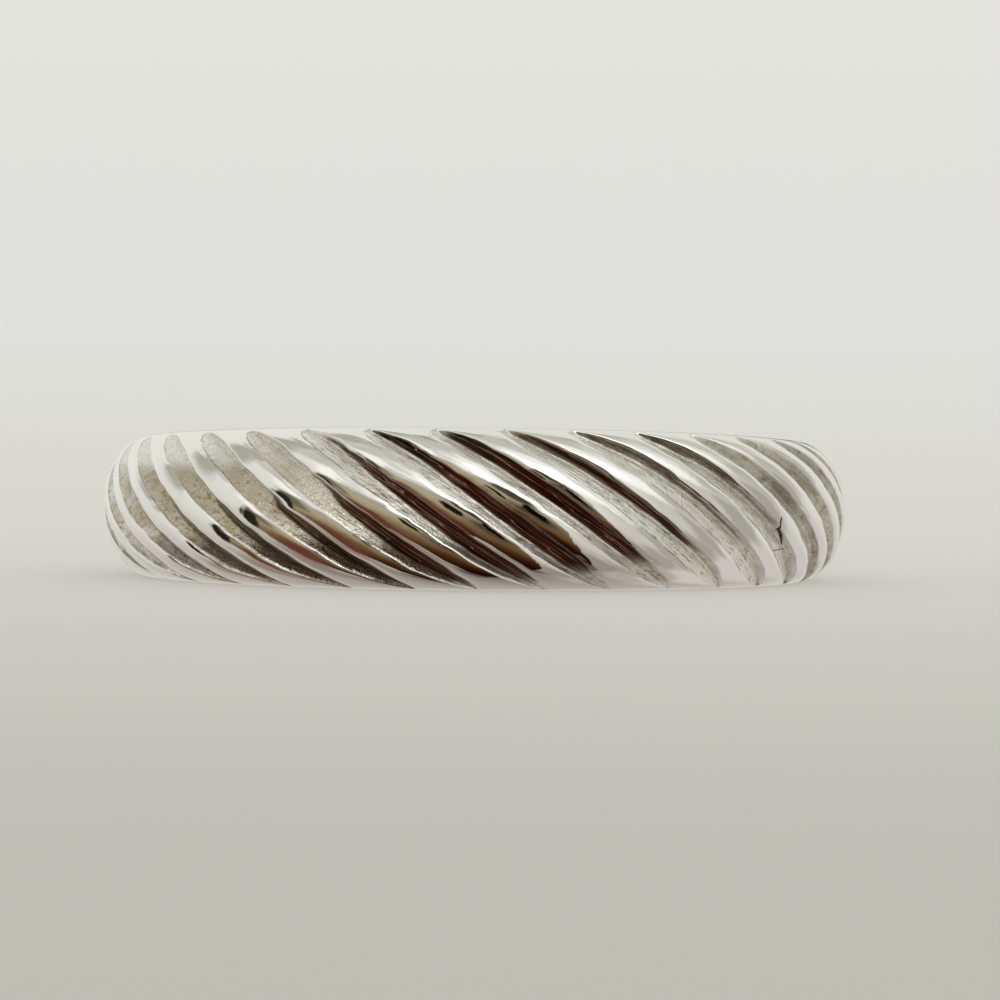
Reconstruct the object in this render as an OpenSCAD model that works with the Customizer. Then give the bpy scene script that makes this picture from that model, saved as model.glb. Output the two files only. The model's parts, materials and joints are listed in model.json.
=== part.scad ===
// A one-piece cast finger ring. Its domed band is cut all round with slanted grooves,
// so that the ridges between them look like the strands of a twisted rope.
// The ring lies on its side: the finger hole stands upright on the origin, and the lower
// rim is the plane z = 0. Lengths are in millimetres and angles in degrees.

/* [Band] */
// Inside diameter, which is the finger size
finger_d = 17.3; // [14:0.1:22]
// Width of the band, along the finger
band_w = 3.8; // [3:0.1:6]
// Thickness left at the two rims
rim_wall = 0.5; // [0.4:0.05:1]
// Height of the domed back above the rims
dome_h = 1.25; // [0.8:0.05:2]
// Rounding where the finger hole meets the rims
hole_easing = 0.15; // [0.05:0.05:0.3]

/* [Rope grooves] */
// Number of grooves round the band
groove_count = 37; // [24:1:40]
// Slope of the grooves against the rims, measured on the dome
groove_slope = 35; // [28:1:60]
// Width of a groove, square across its run
groove_w = 0.52; // [0.3:0.02:0.7]
// Depth of a groove below the dome
groove_depth = 0.25; // [0.1:0.05:0.5]
// Length, along the dome, over which a groove closes at its blunt upper end
blunt_end = 0.7; // [0.4:0.1:1]
// Length, along the dome, over which a groove closes at its pointed lower end
pointed_end = 1.1; // [0.6:0.1:1.4]
// Plain dome left between the tip of a groove and the rim
tip_margin = 0.4; // [0.2:0.05:0.6]
// How far the crown of a ridge falls towards its edges
ridge_fall = 0.03; // [0:0.01:0.1]
// Turn of the front groove's middle to the right of the front
front_groove = 2.7; // [0:0.1:9]

/* [Hidden] */

// Sizes that follow from the ones above
hole_r = finger_d / 2;
rim_r = hole_r + rim_wall;
crown_r = rim_r + dome_h;
half_w = band_w / 2;

// The dome is half an ellipse, half_w by dome_h. The table gives the length along it,
// from its middle, at each whole degree of the ellipse's own angle.
function dome_step(angle) = norm([half_w * cos(angle), dome_h * sin(angle)]) * PI / 180;
dome_table = [for (angle = 0, run = 0; angle <= 90; run = run + dome_step(angle + 0.5), angle = angle + 1)
    [run, angle]];
half_dome = dome_table[90][0];
function dome_angle(run) = sign(run) * lookup(abs(run), dome_table);

// A groove is closed at run_tip, up and down from the middle of the dome
run_tip = half_dome - tip_margin;

// Turn of a groove for each millimetre along the dome, and half its width, as angles
// about the finger hole
turn_per_mm = 180 / (PI * crown_r * tan(groove_slope));
pitch = 360 / groove_count;
half_groove = groove_w / 2 / sin(groove_slope) / crown_r * 180 / PI;

// Rows of points from the middle of the dome to a rim: even ones where the groove is full,
// closer ones where it closes, and the plain margin
full_rows = 3;
closing_rows = [0.5, 0.85, 1];
margin_rows = [0.5, 1];
function rows_to_rim(end_length) =
    let (run_full = run_tip - end_length)
    concat(
        [for (i = [1:full_rows]) run_full * i / full_rows],
        [for (share = closing_rows) run_full + end_length * share],
        [for (share = margin_rows) run_tip + tip_margin * share]);
rows_down = rows_to_rim(pointed_end);
rows = concat([for (i = [len(rows_down) - 1:-1:0]) -rows_down[i]], [0], rows_to_rim(blunt_end));

// Section across a groove: [place as a share of its half width, depth as a share of the cut]
GROOVE_SECTION = [[-1, 0], [-0.25, 0.85], [0, 1], [0.25, 0.85], [1, 0]];
// Section across a ridge: [place as a share of its width, fall as a share of ridge_fall]
RIDGE_SECTION = [[0.22, 0.3], [0.5, 0], [0.78, 0.3]];
per_pitch = len(GROOVE_SECTION) + len(RIDGE_SECTION);
columns = groove_count * per_pitch;

// How open a groove is at a row, from 1 in the middle to 0 at its tips. The upper end is
// half an ellipse. The lower end is a point, whose sides bulge as point_bulge goes below 1.
// The mesh keeps a narrow strip, closed_share of the full width, where the groove is closed.
point_bulge = 0.6;
closed_share = 0.2;
function to_blunt_tip(run) = min(1, max(0, run_tip - run) / blunt_end);
function to_pointed_tip(run) = min(1, max(0, run + run_tip) / pointed_end);
function openness(run) =
    min(sqrt(1 - pow(1 - to_blunt_tip(run), 2)), pow(to_pointed_tip(run), point_bulge));
function groove_reach(run) = half_groove * max(closed_share, openness(run));

// A point of the dome at a row, at an angle right of the front, sunk square to the dome
function dome_point(run, right, sink) =
    let (angle = dome_angle(run),
         out = [cos(angle) / dome_h, sin(angle) / half_w],
         normal = out / norm(out),
         radius = rim_r + dome_h * cos(angle) - sink * normal[0],
         height = half_w + half_w * sin(angle) - sink * normal[1],
         azimuth = right - turn_per_mm * run - 90)
    [radius * cos(azimuth), radius * sin(azimuth), height];

function groove_points(run, middle) =
    [for (at = GROOVE_SECTION)
        dome_point(run, middle + at[0] * groove_reach(run),
            openness(run) * (ridge_fall + at[1] * (groove_depth - ridge_fall)))];

function ridge_points(run, middle) =
    let (left = middle + groove_reach(run), ridge = pitch - 2 * groove_reach(run))
    [for (at = RIDGE_SECTION)
        dome_point(run, left + at[0] * ridge, openness(run) * ridge_fall * at[1])];

function row_points(run) =
    [for (i = [0:groove_count - 1], half = [0, 1])
        each half == 0 ? groove_points(run, front_groove + i * pitch)
                       : ridge_points(run, front_groove + i * pitch)];

// The grooved body before the finger hole is bored, closed by a flat disc at each rim
module grooved_body() {
    row_count = len(rows);
    low_centre = row_count * columns;
    high_centre = low_centre + 1;
    top_start = (row_count - 1) * columns;
    points = concat(
        [for (run = rows) each row_points(run)],
        [[0, 0, 0], [0, 0, band_w]]);
    wall_faces = [for (row = [0:row_count - 2], i = [0:columns - 1])
        let (j = (i + 1) % columns,
             low = row * columns,
             high = low + columns)
        each [[low + i, high + i, high + j], [low + i, high + j, low + j]]];
    rim_faces = [for (i = [0:columns - 1])
        let (j = (i + 1) % columns)
        each [[low_centre, i, j], [high_centre, top_start + j, top_start + i]]];
    polyhedron(points = points, faces = concat(wall_faces, rim_faces), convexity = 12);
}

// What is taken away at one rim to round the edge of the finger hole. The rim is z = 0
// and the band is above it.
module easing_cut() {
    spare = 0.2;
    rotate_extrude($fn = 120)
        difference() {
            translate([hole_r - spare, -spare])
                square([hole_easing + spare, hole_easing + spare]);
            translate([hole_r + hole_easing, hole_easing])
                circle(r = hole_easing, $fn = 32);
        }
}

module finger_hole() {
    spare = 1;
    translate([0, 0, -spare])
        cylinder(h = band_w + 2 * spare, r = hole_r, $fn = 120);
    easing_cut();
    translate([0, 0, band_w])
        mirror([0, 0, 1])
            easing_cut();
}

module rope_band() {
    color("silver")
        difference() {
            grooved_body();
            finger_hole();
        }
}

rope_band();
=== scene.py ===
import json
import math

import bpy
import numpy as np
from mathutils import Matrix, Vector, noise


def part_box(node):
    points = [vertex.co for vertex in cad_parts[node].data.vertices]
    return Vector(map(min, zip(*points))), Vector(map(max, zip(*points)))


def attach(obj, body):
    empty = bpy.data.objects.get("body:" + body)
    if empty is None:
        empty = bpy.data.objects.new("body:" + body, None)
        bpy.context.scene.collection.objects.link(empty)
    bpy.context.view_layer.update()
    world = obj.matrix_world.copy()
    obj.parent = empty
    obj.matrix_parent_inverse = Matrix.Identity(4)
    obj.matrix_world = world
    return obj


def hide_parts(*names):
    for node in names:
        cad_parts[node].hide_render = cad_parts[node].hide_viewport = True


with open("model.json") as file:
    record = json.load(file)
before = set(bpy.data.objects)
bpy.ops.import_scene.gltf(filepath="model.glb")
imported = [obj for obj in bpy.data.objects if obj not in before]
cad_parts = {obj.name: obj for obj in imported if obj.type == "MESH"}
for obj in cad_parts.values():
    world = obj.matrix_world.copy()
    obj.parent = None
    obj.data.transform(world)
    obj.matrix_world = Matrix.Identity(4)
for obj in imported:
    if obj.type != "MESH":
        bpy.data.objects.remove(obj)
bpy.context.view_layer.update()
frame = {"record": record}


# The camera. A close view of the band, level with the middle of its width, with the finger
# hole upright in the picture. It stands a hair off the ring's own front and is barely rolled,
# as a hand-held camera is.
MM = 0.001
band_low, band_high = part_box("rope_band")
band_centre = Vector((0, 0, (band_low.z + band_high.z) / 2))
camera_distance = 48.86 * MM
camera_right = 0.71 * MM
camera_rise = 0.015 * MM
camera_look_up = math.radians(0.29)
camera_roll = math.radians(0.57)
camera_data = bpy.data.cameras.new("camera")
camera_data.sensor_width = 36
camera_data.lens = 61.3
camera_data.clip_start = 1 * MM
camera_data.clip_end = 5
camera = bpy.data.objects.new("camera", camera_data)
camera.matrix_world = (
    Matrix.Translation(band_centre + Vector((camera_right, -camera_distance, camera_rise)))
    @ Matrix.Rotation(math.radians(90) + camera_look_up, 4, "X")
    @ Matrix.Rotation(camera_roll, 4, "Z")
)
bpy.context.scene.collection.objects.link(camera)
bpy.context.scene.camera = camera


# The band. The ring is one casting in sterling silver: a band with a domed back, cut round
# with slanted grooves, and a plain finger hole. The grooves were cut by hand before the
# polish, so their spacing, width and lips wander a little and their walls keep a cast skin.
mounts = {mount["name"]: mount for mount in frame["record"]["mounts"]}
band_w = (band_high.z - band_low.z) / MM
hole_r = mounts["finger_hole"]["dims"]["r_mm"]
rim_wall = 0.5
rim_r = hole_r + rim_wall
dome_h = 1.25
crown_r = rim_r + dome_h
hole_easing = 0.15
half_w = band_w / 2

# The grooves. Lengths are in millimetres until the mesh is made, and places round the band
# are in degrees right of its front.
groove_count = 37
groove_slope = math.radians(35)
groove_w = 0.52
groove_depth = 0.25
front_groove = 2.7
ridge_fall = 0.03
lip_round = 0.03

# Run left plain below and above each groove, and the lengths over which its ends close
low_margin = 0.22
high_margin = 0.32
blunt_end = 0.7
pointed_end = 1.2
shorter_point = 0.5

# The dome is half an ellipse. Lengths along it are called run, from its middle upwards.
ellipse_angle = np.linspace(-np.pi / 2, np.pi / 2, 2001)
ellipse_step = np.hypot(half_w * np.cos(ellipse_angle), dome_h * np.sin(ellipse_angle))
ellipse_run = np.concatenate(
    [[0], np.cumsum((ellipse_step[1:] + ellipse_step[:-1]) / 2 * np.diff(ellipse_angle))])
half_dome = ellipse_run[-1] / 2
ellipse_run -= half_dome
low_tip = low_margin - half_dome
high_tip = half_dome - high_margin
pitch = 360 / groove_count
turn_per_mm = math.degrees(1 / (crown_r * math.tan(groove_slope)))
degrees_across = math.degrees(1 / (crown_r * math.sin(groove_slope)))

row_count = 89
rows = np.linspace(-half_dome, half_dome, row_count)

# How open a groove is along its run. It ends bluntly at its upper end and in a point at its
# lower end, which is long and sharp at the front and shorter on both sides of it.
blunt = np.sqrt(np.clip(1 - (np.clip(rows - high_tip + blunt_end, 0, None) / blunt_end) ** 2, 0, 1))


def bell(value, middle, reach):
    """1 at the middle, falling to 0 past its reach, with a flat top."""
    return np.exp(-((value - middle) / reach) ** 4)


def open_shares(right):
    """How open the groove is that lies so many degrees right of the front, at each row."""
    far_right = bell(right, 60, 45)
    length = pointed_end - shorter_point * far_right - shorter_point * bell(right, -34, 32)
    point = np.clip((rows - low_tip) / length, 0, 1) ** (0.6 - 0.15 * far_right)
    return np.minimum(blunt, point)


# Places of the columns across a groove, as shares of its half width, and across a ridge
half_places = np.array([0.15, 0.3, 0.45, 0.6, 0.74, 0.87, 0.97, 1.06, 1.16])
groove_places = np.concatenate([-half_places[::-1], [0], half_places])
ridge_places = np.linspace(0, 1, 10)[1:-1]
per_pitch = len(groove_places) + len(ridge_places)
columns = groove_count * per_pitch
pitch_width = 2 * math.pi * crown_r / groove_count * math.sin(groove_slope)
closed_share = 0.1
bottom_round = 0.1
tip_lean = 1.2

# How far the cutter strayed, from groove to groove and along each one: degrees off the even
# pitch, shares of the width, the depth and the bottom's place, and ragged lips in millimetres
groove_stray, run_stray = 0.2, 0.15
mean_width, groove_width_stray, run_width_stray = 1.06, 0.06, 0.08
depth_stray = 0.12
bottom_stray = 0.1
ragged_lip = 0.04


def wander(groove, wave, seed):
    """Smooth hand-made wander, from -1 to 1, along the run of one groove."""
    return np.array([noise.noise(Vector((run / wave, groove * 7.31, seed))) for run in rows])


# The crown of a ridge is its highest line, as a share of its width from the left. Most lie
# near the middle, and three ridges right of the front have theirs left of it.
crown_places = [0.5 + 0.1 * noise.noise(Vector((i * 1.37, 6.2, 8))) for i in range(groove_count)]
crown_places[:4] = 0.5, 0.32, 0.32, 0.42

middles, half_widths, lips, openness = [], [], [], []
for groove in range(groove_count + 1):
    lap, i = divmod(groove, groove_count)
    right = front_groove + i * pitch
    drift = groove_stray * noise.noise(Vector((i, 0.5, 9))) + run_stray * wander(i, wave=1.9, seed=5)
    width = (mean_width + groove_width_stray * noise.noise(Vector((i * 1.7, 3.1, 4)))
             + run_width_stray * wander(i, wave=1.1, seed=3))
    side = (right + 180) % 360 - 180
    open_share = open_shares(side)
    lean = tip_lean * bell(side, -48, 26) * (1 - open_share) * (rows < 0)
    middles.append(right + lap * 360 + drift + lean)
    openness.append(open_share)
    half_widths.append(np.maximum(open_share, closed_share) * groove_w / 2 * width)
    lips.append([ragged_lip * open_share * (
        wander(i, wave=0.45, seed=lip) + 0.6 * wander(i, wave=0.2, seed=lip + 0.5)) for lip in (1, 2)])

right_of_front = np.empty((row_count, columns))
across = np.empty((row_count, columns))
past_bottom = np.empty((row_count, columns))
sink = np.empty((row_count, columns))
open_here = np.empty((row_count, columns))
for groove in range(groove_count):
    start = groove * per_pitch
    middle, half_width = middles[groove], half_widths[groove]
    right = (front_groove + groove * pitch + 180) % 360 - 180
    # The bottom of the V, as a share from the left lip at -1 to the right lip at 1. It lies
    # near the right lip on the right of the front, and a little left of the middle at the
    # front. Up the run it leans to the right, except on the right of the front, and most in
    # the upper ends left of the front.
    level = 0.75 * bell(right, 36, 16) - 0.2 * bell(right, 2, 15)
    lean = 0.5 - 0.6 / (1 + math.exp((9 - right) / 6))
    upper_end = 0.7 * bell(right, -36, 22) * np.clip(rows / 0.5, 0, 1)
    bottom = level + lean * rows + upper_end + bottom_stray * wander(groove, wave=1.4, seed=6)
    bottom = np.clip(bottom, -0.75, 0.85)
    depth = groove_depth * (1 + depth_stray * wander(groove, wave=1.6, seed=7))
    ridge_width = pitch_width - half_width - half_widths[groove + 1]
    for i, place in enumerate(groove_places):
        wobble = lips[groove][0 if place < 0 else 1]
        off_middle = place * half_width + abs(place) * wobble
        right_of_front[:, start + i] = middle + off_middle * degrees_across
        across[:, start + i] = place
        past_bottom[:, start + i] = place - bottom
        # A V with a rounded bottom, between the falls of the ridges on its two sides
        wall_width = np.where(place < bottom, 1 + bottom, 1 - bottom)
        leaned = (place - bottom) / wall_width
        full_v = math.hypot(1, bottom_round)
        vee = (full_v - np.hypot(leaned, bottom_round)) / (full_v - bottom_round)
        past_lip = (abs(place) - 1) * half_width / ridge_width
        if place < 0:
            crown = ridge_fall * (2 * (1 - past_lip - crown_places[groove - 1])) ** 2
            lip_fall = ridge_fall * (2 * (1 - crown_places[groove - 1])) ** 2
        else:
            crown = ridge_fall * (2 * (past_lip - crown_places[groove])) ** 2
            lip_fall = ridge_fall * (2 * crown_places[groove]) ** 2
        cut = lip_fall + vee * (depth - lip_fall)
        crown = crown if abs(place) > 1 else lip_fall
        sink[:, start + i] = (cut + crown + np.hypot(cut - crown, lip_round)) / 2
        open_here[:, start + i] = openness[groove]
    start += len(groove_places)
    left_edge = right_of_front[:, start - 1]
    next_edge = middles[groove + 1] - half_places[-1] * (
        half_widths[groove + 1] - lips[groove + 1][0]) * degrees_across
    low_place = (half_places[-1] - 1) * half_width / ridge_width
    high_place = 1 - (half_places[-1] - 1) * half_widths[groove + 1] / ridge_width
    for i, place in enumerate(ridge_places):
        right_of_front[:, start + i] = left_edge + (next_edge - left_edge) * place
        across[:, start + i] = 2 + place
        past_bottom[:, start + i] = 1
        ridge_place = low_place + (high_place - low_place) * place
        sink[:, start + i] = ridge_fall * (2 * (ridge_place - crown_places[groove])) ** 2
        open_here[:, start + i] = openness[groove] + (openness[groove + 1] - openness[groove]) * place
sink *= open_here

angle = np.interp(rows, ellipse_run, ellipse_angle)[:, None]
normal_out = np.cos(angle) / dome_h
normal_up = np.sin(angle) / half_w
normal_size = np.hypot(normal_out, normal_up)
normal_out, normal_up = normal_out / normal_size, normal_up / normal_size
azimuth = np.radians(right_of_front - turn_per_mm * rows[:, None] - 90)


def dome_points(sink):
    """Points of the outer skin, in millimetres, sunk square to the dome."""
    radius = rim_r + dome_h * np.cos(angle) - sink * normal_out
    height = half_w + half_w * np.sin(angle) - sink * normal_up
    return np.stack([radius * np.cos(azimuth), radius * np.sin(azimuth),
                     np.broadcast_to(height, azimuth.shape)], axis=-1)


# The cast skin is full on the walls of a groove and gone at its lips. The left wall is
# grained, and the right wall, where the cutter leaned, has strokes along the groove.
skin = np.clip((1.02 - np.abs(across)) / 0.14, 0, 1) * np.clip(open_here * 1.6, 0, 1)
right_wall = np.clip((past_bottom - 0.02) / 0.12, 0, 1) * skin

# Tarnish, as shares from 0 to 1. The right walls at the front are brown, and reddest in the
# middle. The left walls there are clean and nearly white. The grooves left of them are tan,
# and those on the far right are grey. Left of the front the lower ends are dark on their left
# walls too, with tarnish and painted shade where the groove narrows to its point, and the
# upper ends were buffed bright.
groove_right = (right_of_front + 180) % 360 - 180
up = rows[:, None]
clean = (skin - right_wall) * bell(groove_right, 12, 32)
tan = skin * bell(groove_right, -33, 26) * bell(up, 0.2, 1.3)
grey = skin * bell(groove_right, 75, 30)
upper_left = bell(groove_right, -36, 22) * np.clip(up / 0.5, 0, 1)
high_enough = np.clip((up + 1.6 - 0.03 * (groove_right - 8)) / 0.4, 0, 1)
brown = right_wall * bell(groove_right, -3, 48) * (1 - upper_left) * high_enough
red = right_wall * bell(groove_right, 8, 34) * np.clip((1.4 - up) / 0.6, 0, 1) * high_enough
# Painted shade with tarnish: the lower ends of the left walls, darker where the groove narrows
low_end = (skin - right_wall) * bell(groove_right, -30, 34) * np.clip((-0.65 - up) / 0.45, 0, 1)
buffed = skin * np.clip((up - 0.9) / 0.35, 0, 1) / (1 + np.exp((groove_right + 22) / 4))
strand_angle = np.radians(right_of_front)
along = np.broadcast_to(rows[:, None] / math.sin(groove_slope), azimuth.shape)
strand_place = np.stack([crown_r * np.cos(strand_angle), crown_r * np.sin(strand_angle), along], axis=-1)

# The relief of the cast skin, and a faint unevenness all over from the hand polish
cast_grain_size, cast_grain_height = 0.16, 0.009
cast_stroke_size, cast_stroke_height = np.array([0.12, 0.12, 0.9]), 0.006
polish_size, polish_height = 0.8, 0.003


def noise_at(points, size=1):
    """Noise from -1 to 1 at each point of the outer skin, with lumps of one size."""
    return np.array([noise.noise(Vector(point) / size) for point in points]).reshape(skin.shape)


places = dome_points(sink).reshape(-1, 3)
cast_grain = cast_grain_height * noise_at(places, cast_grain_size) * (skin - 0.7 * right_wall)
cast_stroke = cast_stroke_height * noise_at(strand_place.reshape(-1, 3) * (1 / cast_stroke_size)) * skin
unevenness = polish_height * (noise_at(places, polish_size) + 0.6)
sink = np.maximum(sink + (cast_grain + cast_stroke + unevenness), 0)
outer = dome_points(sink)

# The inside: the flat lower rim, the eased edge, the wall of the finger hole, and the same
# again up to the upper rim. Its columns follow the lower rim's and end on the upper rim's.
easing = np.radians(np.linspace(0, 90, 5))
inner_r = np.concatenate([hole_r + hole_easing * (1 - np.sin(easing)),
                          hole_r + hole_easing * (1 - np.cos(easing))])
inner_z = np.concatenate([hole_easing * (1 - np.cos(easing)),
                          band_w - hole_easing * (1 - np.sin(easing))])
low_azimuth = azimuth[0]
column_shift = round(float(2 * turn_per_mm * half_dome / pitch)) * per_pitch
high_azimuth = np.roll(azimuth[-1], -column_shift)
high_azimuth = high_azimuth + 2 * np.pi * np.round((low_azimuth - high_azimuth) / (2 * np.pi))
share = (inner_z / band_w)[:, None]
inner_azimuth = low_azimuth * (1 - share) + high_azimuth * share
inner = np.stack([inner_r[:, None] * np.cos(inner_azimuth), inner_r[:, None] * np.sin(inner_azimuth),
                  np.broadcast_to(inner_z[:, None], inner_azimuth.shape)], axis=-1)


def band_faces(low, high, flip=False):
    """Quads between two rows of vertex numbers that run round the band."""
    quads = np.stack([low, np.roll(low, -1), np.roll(high, -1), high], axis=-1)
    return quads[:, ::-1] if flip else quads


vertices = np.concatenate([outer.reshape(-1, 3), inner.reshape(-1, 3)]) * MM
outer_rows = np.arange(row_count * columns).reshape(row_count, columns)
inner_rows = np.arange(len(inner_r) * columns).reshape(-1, columns) + row_count * columns
faces = [band_faces(outer_rows[i], outer_rows[i + 1]) for i in range(row_count - 1)]
faces += [band_faces(inner_rows[i], inner_rows[i + 1], flip=True) for i in range(len(inner_r) - 1)]
faces.append(band_faces(outer_rows[0], inner_rows[0], flip=True))
faces.append(band_faces(np.roll(outer_rows[-1], -column_shift), inner_rows[-1]))
faces = np.concatenate(faces)
mesh = bpy.data.meshes.new("rope_band_silver")
mesh.from_pydata(vertices.tolist(), [], faces.tolist())
mesh.shade_smooth()

# The mesh keeps these numbers for the material, one for each point of the outer skin, with 0
# inside, and each point's place on a band whose grooves stand straight
kept_shares = {
    "cast_skin": skin, "right_wall": right_wall, "brown_tarnish": brown, "low_end": low_end,
    "red_tarnish": red, "buffed": buffed, "clean": clean, "tan": tan, "grey": grey,
    "wall_share": past_bottom * (right_wall > 0.5),
    "across_groove": np.clip(across, -1.5, 1.5) * (open_here > 0.3)}
for name, values in kept_shares.items():
    values = np.concatenate([values.ravel(), np.zeros(inner.shape[0] * columns)])
    mesh.attributes.new(name, "FLOAT", "POINT").data.foreach_set("value", values)
strand_places = np.concatenate([strand_place.reshape(-1, 3), inner.reshape(-1, 3)]) * MM
strand = mesh.attributes.new("strand_place", "FLOAT_VECTOR", "POINT")
strand.data.foreach_set("vector", strand_places.ravel())
mesh.validate()
ring = bpy.data.objects.new("rope_band_silver", mesh)
bpy.context.scene.collection.objects.link(ring)
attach(ring, "root")
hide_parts("rope_band")


def linear(hex_colour):
    """An sRGB hex colour as linear red, green, blue and alpha 1."""
    parts = [int(hex_colour[i:i + 2], 16) / 255 for i in (1, 3, 5)]
    return [p / 12.92 if p <= 0.04045 else ((p + 0.055) / 1.055) ** 2.4 for p in parts] + [1]


def add_node(tree, kind, inputs=None, **settings):
    """Adds a node to a tree, sets its properties, and fills its inputs with values or links."""
    new = tree.nodes.new(kind)
    for name, value in settings.items():
        setattr(new, name, value)
    for socket, value in (inputs or {}).items():
        if isinstance(value, bpy.types.NodeSocket):
            tree.links.new(value, new.inputs[socket])
        else:
            new.inputs[socket].default_value = value
    return new


def between(value, low, high, soft):
    """1 where value is between low and high, fading to 0 over soft on each side."""
    over_low = add_node(tree, "ShaderNodeMapRange", {
        "Value": value, "From Min": low - soft, "From Max": low + soft},
        interpolation_type="SMOOTHSTEP").outputs[0]
    under_high = add_node(tree, "ShaderNodeMapRange", {
        "Value": value, "From Min": high + soft, "From Max": high - soft},
        interpolation_type="SMOOTHSTEP").outputs[0]
    return add_node(tree, "ShaderNodeMath", {0: over_low, 1: under_high}, operation="MULTIPLY").outputs[0]


# Polished sterling silver: a warm white metal, nearly a mirror on the ridges and the hole.
# The grooves keep a duller cast skin with grain, pits, stains and strokes, and brown and
# wine-red tarnish darkens their right walls at the front.
silver = bpy.data.materials.new("polished_sterling_silver")
silver.use_nodes = True
tree = silver.node_tree
tree.nodes.clear()
place = add_node(tree, "ShaderNodeTexCoord").outputs["Object"]
shares = {name: add_node(tree, "ShaderNodeAttribute", attribute_name=name).outputs["Fac"]
          for name in kept_shares}
strand_vector = add_node(tree, "ShaderNodeAttribute", attribute_name="strand_place").outputs["Vector"]


def drawn_out(width, length, detail=1, roughness=0.5):
    """Noise drawn out along the grooves, with marks of a width and a length."""
    squeezed = add_node(tree, "ShaderNodeVectorMath", {
        0: strand_vector, 1: (1 / width, 1 / width, 1 / length)}, operation="MULTIPLY").outputs[0]
    return add_node(tree, "ShaderNodeTexNoise", {
        "Vector": squeezed, "Scale": 1, "Detail": detail, "Roughness": roughness}).outputs[0]


grain_width = 0.17 * MM
grain_noise = add_node(tree, "ShaderNodeTexNoise", {
    "Vector": place, "Scale": 1 / grain_width, "Detail": 2, "Roughness": 0.5,
    "Distortion": 1.2}).outputs[0]
stroke_width, stroke_length = 0.09 * MM, 0.9 * MM
stroke_noise = drawn_out(stroke_width, stroke_length)
stroke_gaps = add_node(tree, "ShaderNodeMapRange", {
    "Value": stroke_noise, "From Min": 0.4, "From Max": 0.55}).outputs[0]

# Light and dark streaks along the right walls. The dark ones are marks that the cutter left, and the
# light ones are painted highlights, where fine burrs along the cuts would catch the light.
streak_width, streak_length = 0.08 * MM, 1.3 * MM
streak_noise = drawn_out(streak_width, streak_length)
streaks = add_node(tree, "ShaderNodeMapRange", {
    "Value": streak_noise, "From Min": 0.55, "From Max": 0.72, "To Max": 0.8}).outputs[0]
streaks = add_node(tree, "ShaderNodeMath", {
    0: streaks, 1: shares["right_wall"]}, operation="MULTIPLY").outputs[0]
dark_streaks = add_node(tree, "ShaderNodeMapRange", {
    "Value": streak_noise, "From Min": 0.48, "From Max": 0.36, "To Max": 0.8}).outputs[0]
dark_streaks = add_node(tree, "ShaderNodeMath", {
    0: dark_streaks, 1: shares["brown_tarnish"]}, operation="MULTIPLY").outputs[0]

# Pale stains and small pits of the cast skin, and flecks of old dirt on the clean walls
stain_width = 0.5 * MM
stain_noise = add_node(tree, "ShaderNodeTexNoise", {
    "Vector": place, "Scale": 1 / stain_width, "Detail": 1}).outputs[0]
stain = add_node(tree, "ShaderNodeMapRange", {
    "Value": stain_noise, "From Min": 0.4, "From Max": 0.7}).outputs[0]
pit_width = 0.14 * MM
pit_noise = add_node(tree, "ShaderNodeTexNoise", {
    "Vector": place, "Scale": 1 / pit_width, "Detail": 1}).outputs[0]
pits = add_node(tree, "ShaderNodeMapRange", {
    "Value": pit_noise, "From Min": 0.53, "From Max": 0.78}).outputs[0]
fleck_width, fleck_length = 0.12 * MM, 0.35 * MM
flecks = add_node(tree, "ShaderNodeMapRange", {
    "Value": drawn_out(fleck_width, fleck_length, detail=2, roughness=0.6),
    "From Min": 0.57, "From Max": 0.68, "To Max": 0.7}).outputs[0]
flecks = add_node(tree, "ShaderNodeMath", {
    0: flecks, 1: shares["clean"]}, operation="MULTIPLY").outputs[0]

# A thin dark line just inside the left lip, broken up by the strokes
lip_line = between(shares["across_groove"], -1.0, -0.88, 0.05)
lip_line = add_node(tree, "ShaderNodeMath", {
    0: lip_line, 1: stroke_gaps}, operation="MULTIPLY").outputs[0]

# The tones of the cast skin, each laid over the ones before it as far as its share says
tarnish = linear("#F4F2EC")
for share, most, tone in (
        (stain, 1, "#CFC4AC"), (shares["tan"], 0.65, "#B4A483"), (shares["grey"], 0.6, "#B4B4A5"),
        (pits, 0.75, "#8C7C64"), (shares["clean"], 0.85, "#FBF9F1"),
        (shares["brown_tarnish"], 1, "#3A2717"), (shares["red_tarnish"], 1, "#582A1C"),
        # the light streaks are painted highlights, and the dark low ends hold painted shade with their
        # tarnish
        (shares["low_end"], 0.95, "#5A4124"), (streaks, 1, "#A48C76"), (dark_streaks, 1, "#241208"),
        (shares["buffed"], 1, "#F6F5F1"), (flecks, 1, "#645843"), (lip_line, 1, "#4A4038")):
    share = add_node(tree, "ShaderNodeMath", {0: share, 1: most}, operation="MULTIPLY").outputs[0]
    tarnish = add_node(tree, "ShaderNodeMix", {
        "Factor": share, "A": tarnish, "B": linear(tone)}, data_type="RGBA").outputs["Result"]
colour = add_node(tree, "ShaderNodeMix", {
    "Factor": shares["cast_skin"], "A": linear("#FAFAF9"), "B": tarnish},
    data_type="RGBA").outputs["Result"]

# A painted highlight, a light line, runs along the brown walls, where the cutter left a ledge
ledge_place = add_node(tree, "ShaderNodeMath", {
    0: stroke_noise, 1: 0.5, 2: shares["wall_share"]}, operation="MULTIPLY_ADD").outputs[0]
ledge = between(ledge_place, 0.75, 0.77, 0.02)
ledge_highlight = add_node(tree, "ShaderNodeMath", {
    0: ledge, 1: shares["brown_tarnish"]}, operation="MULTIPLY").outputs[0]
colour = add_node(tree, "ShaderNodeMix", {
    "Factor": ledge_highlight, "A": colour, "B": linear("#D2B4A6")}, data_type="RGBA").outputs["Result"]

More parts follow.
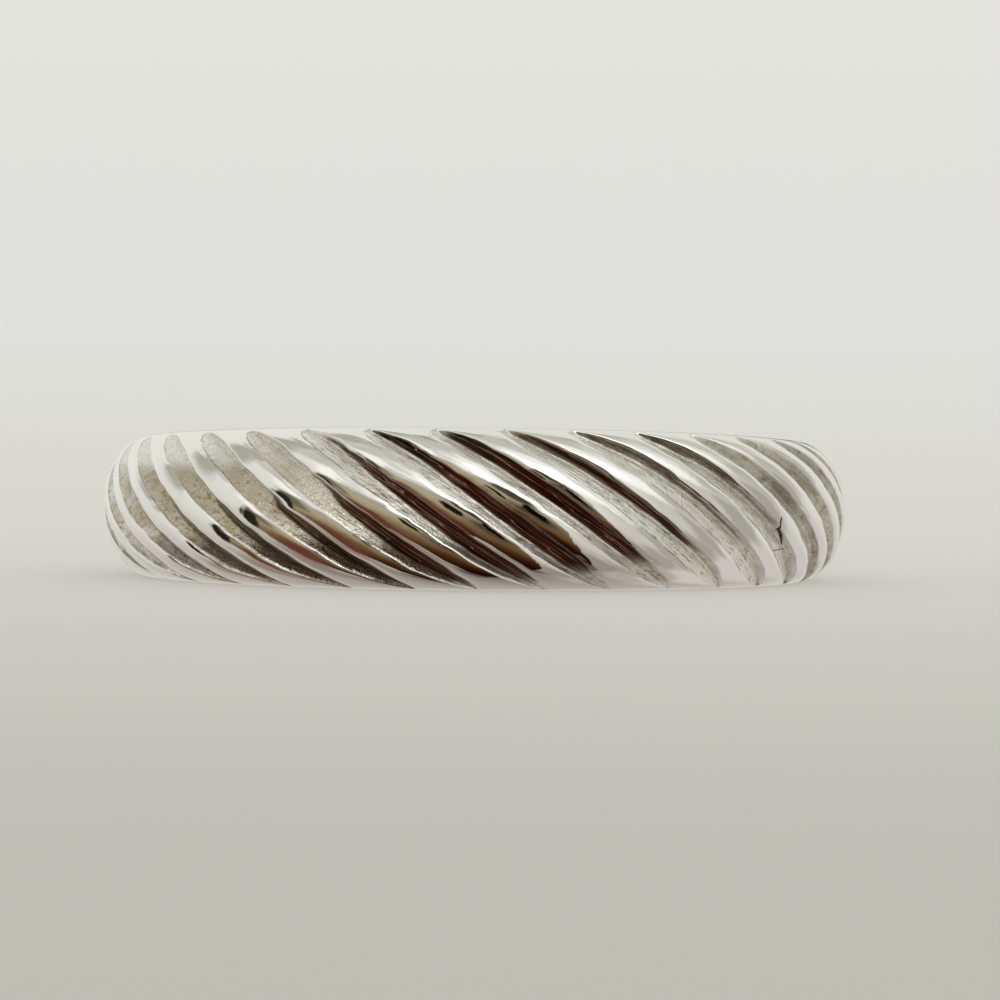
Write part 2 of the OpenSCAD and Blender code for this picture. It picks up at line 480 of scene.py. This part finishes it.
# One old scratch crosses the ridge that lies 42 degrees right of the front, and ends in a
# small cross. It is charted as points: degrees right of the front, and run in millimetres.
scratch_points = [(46.1, -0.14), (45.0, -0.27), (44.1, -0.43), (43.95, -0.6), (43.55, -0.92)]
cross_points = [(39.3, -1.0), (43.5, -1.03)]
scratch_core, scratch_edge = 0.012 * MM, 0.03 * MM
scratch = None
for ends in [*zip(scratch_points, scratch_points[1:]), cross_points]:
    start, end = (MM * Vector((
        crown_r * math.cos(math.radians(right)), crown_r * math.sin(math.radians(right)),
        run / math.sin(groove_slope))) for right, run in ends)
    way = (end - start).normalized()
    off = add_node(tree, "ShaderNodeVectorMath", {
        0: strand_vector, 1: start}, operation="SUBTRACT").outputs[0]
    reach = add_node(tree, "ShaderNodeVectorMath", {
        0: off, 1: way}, operation="DOT_PRODUCT").outputs["Value"]
    reach = add_node(tree, "ShaderNodeClamp", {"Value": reach, "Max": (end - start).length}).outputs[0]
    nearest = add_node(tree, "ShaderNodeVectorMath", {
        0: way, "Scale": reach}, operation="SCALE").outputs[0]
    gap = add_node(tree, "ShaderNodeVectorMath", {
        0: off, 1: nearest}, operation="DISTANCE").outputs["Value"]
    line = add_node(tree, "ShaderNodeMapRange", {
        "Value": gap, "From Min": scratch_edge, "From Max": scratch_core}).outputs[0]
    scratch = line if scratch is None else add_node(
        tree, "ShaderNodeMath", {0: scratch, 1: line}, operation="MAXIMUM").outputs[0]
colour = add_node(tree, "ShaderNodeMix", {
    "Factor": scratch, "A": colour, "B": linear("#3A342E")}, data_type="RGBA").outputs["Result"]

# The polish is nearly a mirror. The left walls are the roughest, and the tarnished right
# walls are smoother. The skin covers part of the bare metal, most where it is nearly white.
rough_wall = add_node(tree, "ShaderNodeMapRange", {
    "Value": shares["right_wall"], "To Min": 0.3, "To Max": 0.12}).outputs[0]
roughness = add_node(tree, "ShaderNodeMapRange", {
    "Value": shares["cast_skin"], "To Min": 0.05, "To Max": rough_wall}).outputs[0]
bare_metal = add_node(tree, "ShaderNodeMapRange", {
    "Value": shares["cast_skin"], "To Min": 1, "To Max": 0.75}).outputs[0]
for share, loss in ((shares["clean"], -0.32), (ledge_highlight, -0.4)):
    bare_metal = add_node(tree, "ShaderNodeMath", {
        0: share, 1: loss, 2: bare_metal}, operation="MULTIPLY_ADD").outputs[0]

# Grain on the left walls, shallower where they are clean, strokes on both walls, and the
# faint waves that a hand polish leaves all over
coarse_grain, clean_grain = 0.04 * MM, 0.019 * MM
stroke_depth = 0.018 * MM
wave_width, wave_depth = 0.22 * MM, 0.0026 * MM
left_share = add_node(tree, "ShaderNodeMath", {
    0: shares["cast_skin"], 1: shares["right_wall"]}, operation="SUBTRACT").outputs[0]
grain_depth = add_node(tree, "ShaderNodeMapRange", {
    "Value": shares["clean"], "To Min": coarse_grain, "To Max": clean_grain}).outputs[0]
grained = add_node(tree, "ShaderNodeBump", {
    "Strength": left_share, "Distance": grain_depth, "Height": grain_noise}).outputs[0]
stroked = add_node(tree, "ShaderNodeBump", {
    "Strength": shares["cast_skin"], "Distance": stroke_depth, "Height": stroke_noise,
    "Normal": grained}).outputs[0]
wave_noise = add_node(tree, "ShaderNodeTexNoise", {
    "Vector": place, "Scale": 1 / wave_width, "Detail": 1}).outputs[0]
waved = add_node(tree, "ShaderNodeBump", {
    "Strength": 1, "Distance": wave_depth, "Height": wave_noise, "Normal": stroked}).outputs[0]
finish = add_node(tree, "ShaderNodeBsdfPrincipled", {
    "Base Color": colour, "Metallic": bare_metal, "Roughness": roughness, "Normal": waved})
add_node(tree, "ShaderNodeOutputMaterial", {"Surface": finish.outputs[0]})
mesh.materials.append(silver)


# The floor and the backdrop: one sweep of pale paper, under and behind the ring. Its glow is
# painted light, which fills in the ring's shadow, and it is painted darker towards the camera.
paper = bpy.data.materials.new("pale_paper_painted_glow")
paper.use_nodes = True
tree = paper.node_tree
tree.nodes.clear()
place = add_node(tree, "ShaderNodeTexCoord").outputs["Object"]
parts = add_node(tree, "ShaderNodeSeparateXYZ", {"Vector": place}).outputs
way_back = add_node(tree, "ShaderNodeMath", {0: parts["Y"], 1: parts["Z"]}, operation="ADD").outputs[0]


def ramp_of(value, tones):
    """The colour of a listed scale from a length or an angle to tones."""
    low, high = min(tones), max(tones)
    share = add_node(tree, "ShaderNodeMapRange", {
        "Value": value, "From Min": low, "From Max": high}).outputs[0]
    node = add_node(tree, "ShaderNodeValToRGB", {"Fac": share})
    for i, (mark, tone) in enumerate(tones.items()):
        stop = node.color_ramp.elements[i] if i < 2 else node.color_ramp.elements.new(1)
        stop.position = (mark - low) / (high - low)
        stop.color = linear(tone)
    return node.outputs["Color"]


# Painted light: the paper's glow, darker towards the camera and paler up the backdrop
painted_paper_glow = ramp_of(way_back, {
    -45 * MM: "#B8B3A7", -38.25 * MM: "#BCB8AC", -31.5 * MM: "#C9C8BC", -15.3 * MM: "#D5D2C8",
    63 * MM: "#E4E2D7", 117 * MM: "#F0F2EC", 171 * MM: "#F6F6F1", 225 * MM: "#FFFFFA"})
finish = add_node(tree, "ShaderNodeBsdfPrincipled", {
    "Base Color": linear("#959595"), "Roughness": 0.9, "Specular IOR Level": 0.1,
    "Emission Color": painted_paper_glow, "Emission Strength": 0.58})
add_node(tree, "ShaderNodeOutputMaterial", {"Surface": finish.outputs[0]})
sweep_front, sweep_back, sweep_top, sweep_half = -600 * MM, 160 * MM, 500 * MM, 800 * MM
bend_r = 120 * MM
profile = [(sweep_front, 0.0), (0.0, 0.0), (sweep_back - bend_r, 0.0)]
profile += [(sweep_back - bend_r + bend_r * math.sin(bend), bend_r - bend_r * math.cos(bend))
            for bend in np.radians(np.linspace(5, 90, 18))]
profile.append((sweep_back, sweep_top))
sweep_vertices = [(x, y, z) for y, z in profile for x in (-sweep_half, sweep_half)]
sweep_faces = [(2 * i, 2 * i + 1, 2 * i + 3, 2 * i + 2) for i in range(len(profile) - 1)]
sweep_mesh = bpy.data.meshes.new("paper_sweep")
sweep_mesh.from_pydata(sweep_vertices, [], sweep_faces)
sweep_mesh.shade_smooth()
sweep_mesh.materials.append(paper)
sweep = bpy.data.objects.new("paper_sweep", sweep_mesh)
bpy.context.scene.collection.objects.link(sweep)
sweep.visible_glossy = False


# The room that the silver mirrors: pale all round, a bright window high in front, and below
# it a tall dark brown shape in front. The paper hides from the mirror, so that the silver
# shows the room alone.
world = bpy.data.worlds.new("studio")
bpy.context.scene.world = world
world.use_nodes = True
tree = world.node_tree
tree.nodes.clear()
direction = add_node(tree, "ShaderNodeTexCoord").outputs["Generated"]
parts = add_node(tree, "ShaderNodeSeparateXYZ", {"Vector": direction}).outputs
toward_front = add_node(tree, "ShaderNodeMath", {0: parts["Y"], 1: -1.0}, operation="MULTIPLY").outputs[0]
turn = add_node(tree, "ShaderNodeMath", {0: parts["X"], 1: toward_front}, operation="ARCTAN2").outputs[0]
turn = add_node(tree, "ShaderNodeMath", {0: turn}, operation="DEGREES").outputs[0]
rise = add_node(tree, "ShaderNodeMath", {0: parts["Z"]}, operation="ARCSINE").outputs[0]
rise = add_node(tree, "ShaderNodeMath", {0: rise}, operation="DEGREES").outputs[0]


def lay(below, mask, colour, strength=1.0):
    """Lays one colour over what is below, where the mask is 1."""
    if isinstance(colour, str):
        colour = [c * strength for c in linear(colour)[:3]] + [1]
    return add_node(tree, "ShaderNodeMix", {
        "Factor": mask, "A": below, "B": colour}, data_type="RGBA").outputs["Result"]


def panel(below, turns, rises, soft, colour, strength=1.0):
    """A soft-edged rectangle of one colour, between two turns and two rises in degrees."""
    mask = add_node(tree, "ShaderNodeMath", {
        0: between(turn, *turns, soft), 1: between(rise, *rises, soft)}, operation="MULTIPLY").outputs[0]
    return lay(below, mask, colour, strength)


def chart(value, points):
    """A smooth curve through charted points: degrees of one kind in, of the other out."""
    share = add_node(tree, "ShaderNodeMapRange", {
        "Value": value, "From Min": -180, "From Max": 180}).outputs[0]
    node = add_node(tree, "ShaderNodeFloatCurve", {"Value": share})
    curve = node.mapping.curves[0]
    points = [(-180, points[0][1])] + points + [(180, points[-1][1])]
    for i, (x, y) in enumerate(points):
        point = curve.points[i] if i < 2 else curve.points.new(0, 0)
        point.location = (x / 360 + 0.5, y / 360 + 0.5)
    node.mapping.update()
    return add_node(tree, "ShaderNodeMapRange", {
        "Value": node.outputs[0], "To Min": -180, "To Max": 180}).outputs[0]


def below_edge(value, edge, soft):
    """1 where value is under an edge, fading to 0 over soft degrees each side of it."""
    gap = add_node(tree, "ShaderNodeMath", {0: edge, 1: value}, operation="SUBTRACT").outputs[0]
    return add_node(tree, "ShaderNodeMapRange", {
        "Value": gap, "From Min": -soft, "From Max": soft}, interpolation_type="SMOOTHSTEP").outputs[0]


def oval(centre, radii, lean, soft):
    """The mask of an oval that leans to the right: 1 inside, fading over soft of its size."""
    lean = math.radians(lean)
    off_turn = add_node(tree, "ShaderNodeMath", {0: turn, 1: centre[0]}, operation="SUBTRACT").outputs[0]
    off_rise = add_node(tree, "ShaderNodeMath", {0: rise, 1: centre[1]}, operation="SUBTRACT").outputs[0]
    squares = []
    for turn_share, rise_share, radius in ((math.cos(lean), -math.sin(lean), radii[0]),
                                           (math.sin(lean), math.cos(lean), radii[1])):
        part = add_node(tree, "ShaderNodeMath", {
            0: off_turn, 1: turn_share / radius}, operation="MULTIPLY").outputs[0]
        whole = add_node(tree, "ShaderNodeMath", {
            0: off_rise, 1: rise_share / radius, 2: part}, operation="MULTIPLY_ADD").outputs[0]
        squares.append(add_node(tree, "ShaderNodeMath", {
            0: whole, 1: whole}, operation="MULTIPLY").outputs[0])
    size = add_node(tree, "ShaderNodeMath", {0: squares[0], 1: squares[1]}, operation="ADD").outputs[0]
    size = add_node(tree, "ShaderNodeMath", {0: size}, operation="SQRT").outputs[0]
    return add_node(tree, "ShaderNodeMapRange", {
        "Value": size, "From Min": 1 + soft, "From Max": 1 - soft},
        interpolation_type="SMOOTHSTEP").outputs[0]


# Turns are degrees right of the front and rises are degrees above the level. First the pale
# walls, darker towards the floor, with their duller patches beside and behind the ring.
room_tones = {-90: "#807A72", -65: "#A19B91", -45: "#AFA9A0", -25: "#C4BFB6", 0: "#DAD9D1",
              30: "#E1E0D8", 58: "#E1E0D8", 72: "#BFBDB0", 90: "#C2C0B4"}
room = ramp_of(rise, room_tones)
room = panel(room, (-170, -122), (5, 58), 8, "#E6E6DE")
room = panel(room, (-190, -150), (59, 70), 4, "#E6E4DC")
room = lay(room, oval((-165, 78), (26, 7), 0, 0.4), "#A19E93")
room = lay(room, oval((-128, 66), (15, 8), 0, 0.5), "#ABA89D")
room = lay(room, oval((142, 65), (13, 8), 0, 0.5), "#B4B1A7")
room = panel(room, (92, 146), (-56, -16), 9, "#CBC7C0")
room = panel(room, (80, 132), (-72, -56), 6, "#AFA89F")
room = panel(room, (163, 190), (-6, 12), 3, "#8A867E")
room = panel(room, (-190, -168), (-3, 12), 3, "#A19E95")
room = lay(room, oval((-98, 50), (17, 32), 0, 0.4), "#ACA99D")
room = panel(room, (-112, -60), (-90, -38), 12, "#8F8075")
room = panel(room, (0, 66), (54, 72), 8, "#F2F1EA")
room = lay(room, oval((122, 50), (24, 14), 0, 0.5), "#C4C2B8")
room = lay(room, oval((98, 20), (18, 19), -10, 0.5), "#B2AFA3")
room = panel(room, (48, 104), (-26, 22), 12, "#C6C3B9")
room = panel(room, (73, 101), (-24, 14), 6, "#A8A49A")
room = panel(room, (58, 90), (-58, -24), 7, "#A49F95")
room = panel(room, (38, 76), (-76, -46), 6, "#968D82")

# The wide bright wall high in front, with the window in it and dull patches on its left
room = panel(room, (-58, 74), (20, 54), 7, "#FAF9F2")
room = panel(room, (-40, -2), (16, 32), 5, "#C9C8C1")
room = panel(room, (0, 54), (32, 50), 5, "#FFFFF8", 2.0)
room = lay(room, oval((-24, 45), (13, 9), 0, 0.5), "#D4D2CA")
room = lay(room, oval((-56, 55), (30, 12), -10, 0.5), "#C3C1B7")

# The dark shape, from olive at its top to nearly black brown low down, with a wine-coloured
# left side and small black shapes inside. Its outline is charted in degrees.
shape_tones = {-70: "#1E0A04", -55: "#371E0C", -45: "#492E14", -35: "#61472E", -25: "#70583E",
               -15: "#887658", -5: "#A29276", 5: "#AAA084", 20: "#A5A08E"}
shape_colour = ramp_of(rise, shape_tones)
top_edge = chart(turn, [
    (-75, -4), (-62, 8), (-50, 17), (-30, 20), (-12, 22), (0, 25), (14, 30), (26, 29), (32, 16)])
right_edge = chart(rise, [(-80, 40), (-62, 40), (-52, 35), (-40, 33), (-20, 34), (20, 34)])
left_edge = chart(rise, [
    (-82, -8), (-75, -16), (-66, -30), (-55, -45), (-45, -60), (-30, -72), (-10, -76), (10, -74)])
shape = add_node(tree, "ShaderNodeMath", {
    0: below_edge(rise, top_edge, 2.5), 1: below_edge(turn, right_edge, 1.5)},
    operation="MULTIPLY").outputs[0]
shape = add_node(tree, "ShaderNodeMath", {
    0: shape, 1: below_edge(left_edge, turn, 5)}, operation="MULTIPLY").outputs[0]
shape = add_node(tree, "ShaderNodeMath", {
    0: shape, 1: between(rise, -81, 60, 4)}, operation="MULTIPLY").outputs[0]
room = panel(room, (-58, 66), (-95, -74), 5, "#665950")
room = lay(room, shape, shape_colour)
room = lay(room, oval((14, -12), (16, 13), 0, 0.6), "#4A4030")
room = lay(room, oval((16, 18), (14, 12), 0, 0.4), "#454133")
room = lay(room, oval((-54, 5), (9, 10), 0, 0.5), "#6E6853")
room = lay(room, oval((-52, -36), (15, 19), 30, 0.6), "#633A2C")
room = lay(room, oval((-69, -9), (6, 18), 34, 0.3), "#22221C")
room = lay(room, oval((-6, 0), (6.5, 9.5), 20, 0.3), "#18130C")
room = lay(room, oval((18, -4), (6, 12), 10, 0.2), "#0A0705")
room_light = add_node(tree, "ShaderNodeBackground", {"Color": room, "Strength": 1.0})

# Dull surfaces blur the room so much that they are lit by one plain soft tone in its place,
# and the room isn't sampled as a lamp, because only the mirror sees its shapes
plain_light = add_node(tree, "ShaderNodeBackground", {"Color": linear("#E1E1DD"), "Strength": 1.0})
ray = add_node(tree, "ShaderNodeLightPath").outputs
room_or_plain = add_node(tree, "ShaderNodeMixShader", {
    0: ray["Is Diffuse Ray"], 1: room_light.outputs[0], 2: plain_light.outputs[0]})
add_node(tree, "ShaderNodeOutputWorld", {"Surface": room_or_plain.outputs[0]})
world.cycles.sampling_method = "NONE"

bpy.context.scene.view_settings.view_transform = "Standard"
